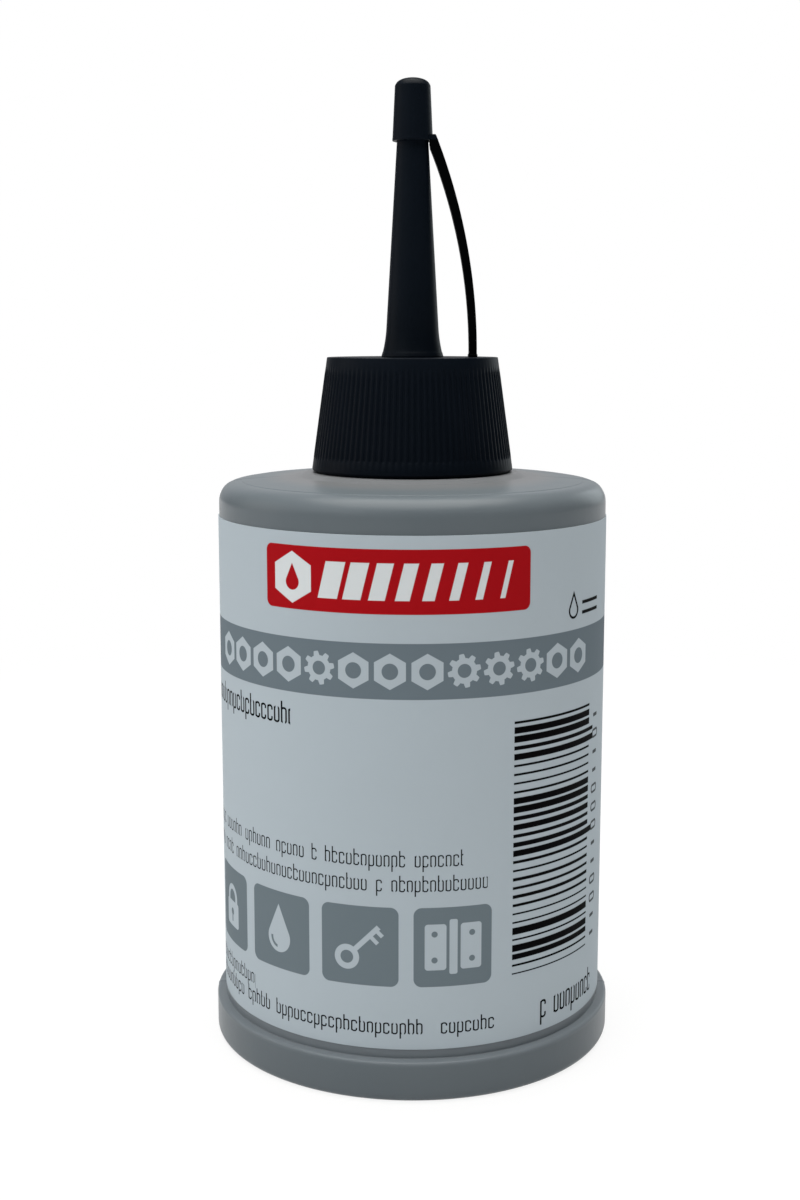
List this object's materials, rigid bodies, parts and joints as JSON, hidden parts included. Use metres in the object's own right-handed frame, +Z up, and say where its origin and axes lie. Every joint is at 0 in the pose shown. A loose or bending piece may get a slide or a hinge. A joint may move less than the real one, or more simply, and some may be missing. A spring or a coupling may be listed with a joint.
{
  "type": "squeeze bottle with nozzle",
  "caption": "Small round squeeze bottle of graphite grease for locks, with a ribbed screw collar, a long tapered nozzle and a tethered tip cap.",
  "frame": {"origin": "middle of the flat ring that the bottle stands on", "axes": "+Z up along the bottle's axis, front of the label towards -Y, tether on the +X side"},
  "size_m": [0.0418, 0.0418, 0.0986],
  "materials": {
    "bottle_plastic": "blown polyethylene, satin to glossy mid grey",
    "label_film": "printed film, smooth satin, pale grey with coloured panels",
    "grease": "thick graphite grease, dark and shiny",
    "seal_foam": "closed-cell foam, matt off-white",
    "closure_plastic": "moulded polyethylene, satin black",
    "tether_plastic": "soft moulded polyethylene, matt black"
  },
  "bodies": {
    "container": {"bottle": "bottle_plastic", "label": "label_film", "grease_fill": "grease"},
    "seal": {"seal_washer": "seal_foam"},
    "closure": {"screw_collar": "closure_plastic", "spout": "closure_plastic", "strap_peg": "tether_plastic", "tether_strap": "tether_plastic"},
    "tip": {"tip_cap": "closure_plastic"}
  },
  "joints": [
    {"name": "collar_lift", "type": "slide", "parent": "container", "child": "seal", "axis": [0, 0, 1], "range_m": [0, 0.005]},
    {"name": "collar_turn", "type": "hinge", "parent": "seal", "child": "closure", "pos_m": [0, 0, 0.0595], "axis": [0, 0, 1], "range_deg": [0, 720]},
    {"name": "tip_pull", "type": "slide", "parent": "closure", "child": "tip", "axis": [0, 0, 1], "range_m": [0, 0.004], "deforming": ["tether_strap"]}
  ],
  "couplings": [
    {"joint": "collar_lift", "follows": "collar_turn", "m_per_rad": 0.00039788}
  ]
}
